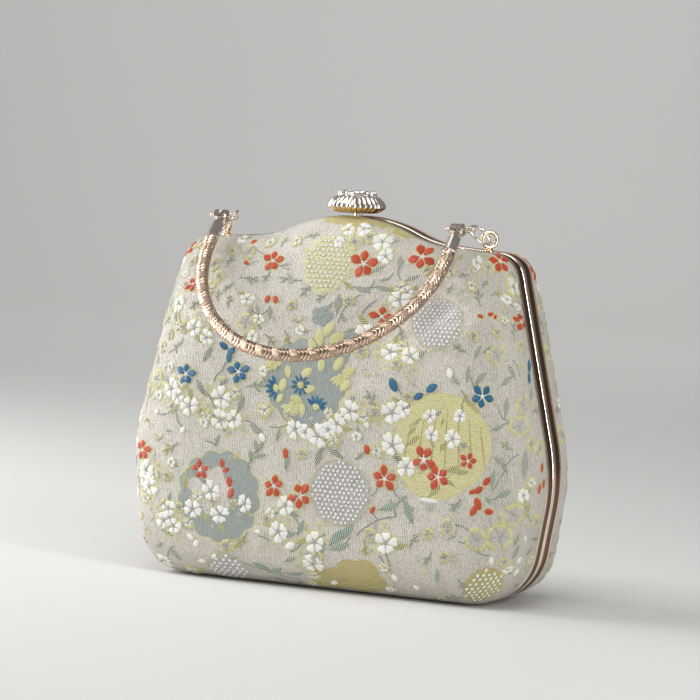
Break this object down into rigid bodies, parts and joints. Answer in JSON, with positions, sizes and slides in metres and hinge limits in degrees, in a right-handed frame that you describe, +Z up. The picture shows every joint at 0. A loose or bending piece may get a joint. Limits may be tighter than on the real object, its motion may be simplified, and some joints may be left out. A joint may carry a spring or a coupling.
{
  "type": "framed evening bag",
  "caption": "Hard-shell framed evening bag in floral brocade, rose-gold hinged frame, fluted knob clasp with stones, and a rigid curved handle on jump rings.",
  "frame": {"origin": "on the ground under the middle of the whole bag as it stands with its handle resting on the front: the centre of the bounding box's foot", "axes": "+X along the bag's width to its right as seen from the front, -Y out of the front, +Z up"},
  "size_m": [0.1972, 0.0984, 0.1763],
  "materials": {
    "floral_brocade": "woven satin brocade",
    "satin_lining": "satin",
    "moulded_board": "matt",
    "rose_gold": "polished",
    "bright_silver": "polished",
    "spring_steel": "drawn",
    "clear_stone": "faceted"
  },
  "bodies": {
    "front_half": {"front_frame": "rose_gold", "front_shell": "moulded_board", "front_brocade": "floral_brocade", "front_lining": "satin_lining", "frame_loop_left": "rose_gold", "frame_loop_right": "rose_gold", "latch_housing": "rose_gold", "front_hinge_leaf_left": "rose_gold", "front_hinge_leaf_right": "rose_gold", "hinge_pin_left": "spring_steel", "hinge_pin_right": "spring_steel"},
    "back_half": {"back_frame": "rose_gold", "back_shell": "moulded_board", "back_brocade": "floral_brocade", "back_lining": "satin_lining", "latch_tongue": "rose_gold", "back_hinge_leaf_left": "rose_gold", "back_hinge_leaf_right": "rose_gold"},
    "knob": {"knob_body": "bright_silver", "knob_stem": "rose_gold", "knob_spring": "spring_steel", "knob_centre_stone": "clear_stone", "knob_stone_1": "clear_stone", "knob_stone_2": "clear_stone", "knob_stone_3": "clear_stone", "knob_stone_4": "clear_stone", "knob_stone_5": "clear_stone", "knob_stone_6": "clear_stone", "knob_stone_7": "clear_stone", "knob_stone_8": "clear_stone"},
    "ring_right": {"jump_ring_right": "bright_silver", "cross_pin_right": "rose_gold"},
    "ring_left": {"jump_ring_left": "bright_silver", "cross_pin_left": "rose_gold"},
    "handle": {"handle_bar": "rose_gold", "ferrule_left": "rose_gold", "ferrule_right": "rose_gold"}
  },
  "joints": [
    {"name": "frame_hinge", "type": "hinge", "parent": "front_half", "child": "back_half", "pos_m": [0, 0.015, 0.0014], "axis": [-1, 0, 0], "range_deg": [0, 80]},
    {"name": "knob_press", "type": "slide", "parent": "front_half", "child": "knob", "axis": [0, 0, -1], "range_m": [0, 0.001], "stiffness_N_per_m": 800, "springref_m": -0.001, "deforming": ["knob_spring"]},
    {"name": "ring_right_swing", "type": "hinge", "parent": "front_half", "child": "ring_right", "pos_m": [0.0642, 0.0108, 0.15819], "axis": [-1, 0, 0], "range_deg": [0, 60]},
    {"name": "ring_left_swing", "type": "hinge", "parent": "front_half", "child": "ring_left", "pos_m": [-0.0642, 0.0108, 0.15819], "axis": [-1, 0, 0], "range_deg": [0, 60]},
    {"name": "handle_swing", "type": "hinge", "parent": "ring_right", "child": "handle", "pos_m": [0.0522, 0.0028, 0.16179], "axis": [-1, 0, 0], "range_deg": [0, 190]}
  ],
  "couplings": [
    {"joint": "ring_left_swing", "follows": "ring_right_swing", "ratio": 1}
  ]
}
